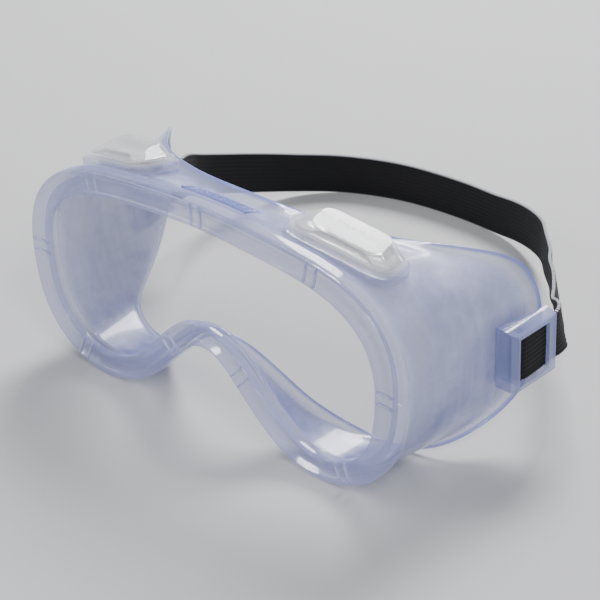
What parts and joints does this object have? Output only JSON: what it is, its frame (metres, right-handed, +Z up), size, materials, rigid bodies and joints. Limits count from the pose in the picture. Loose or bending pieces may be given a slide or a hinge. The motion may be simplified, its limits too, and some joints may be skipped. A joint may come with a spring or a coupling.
{
  "type": "safety goggles",
  "caption": "Clear splash goggles: soft one-piece body, flat lens in a groove, covered brow vents and an elastic head strap through side loops.",
  "frame": {"origin": "on the table, under the middle of the object's bounding box with the goggles standing on the lower edge of the rim and on the strap", "axes": "+X towards the wearer's left, +Y from the lens towards the wearer's head, +Z up"},
  "size_m": [0.1986, 0.1748, 0.0877],
  "materials": {
    "soft_vinyl": "clear, slightly blue-violet soft vinyl with glossy edges and frosted side walls",
    "clear_lens": "clear polished polycarbonate",
    "clear_vent": "clear glossy hard plastic",
    "black_elastic": "black woven elastic with lengthwise ribs"
  },
  "bodies": {
    "goggles": {"goggle_body": "soft_vinyl", "lens": "clear_lens", "vent_plate_left": "clear_vent", "vent_ring_left": "clear_vent", "strap_loop_left": "soft_vinyl", "strap_end_left": "black_elastic", "vent_plate_right": "clear_vent", "vent_ring_right": "clear_vent", "strap_loop_right": "soft_vinyl", "strap_end_right": "black_elastic"},
    "cap_left": {"vent_cap_left": "clear_vent"},
    "cap_right": {"vent_cap_right": "clear_vent"},
    "strap": {"strap_band": "black_elastic"}
  },
  "joints": [
    {"name": "strap_swing", "type": "hinge", "parent": "goggles", "child": "strap", "pos_m": [0.00576, -0.00985, 0.036], "axis": [1, 0, 0], "range_deg": [0, 55]},
    {"name": "cap_left_pull", "type": "slide", "parent": "goggles", "child": "cap_left", "axis": [0.2054, 0.1708, 0.9637], "range_m": [0, 0.008]},
    {"name": "cap_right_pull", "type": "slide", "parent": "goggles", "child": "cap_right", "axis": [-0.2054, 0.1708, 0.9637], "range_m": [0, 0.008]}
  ]
}
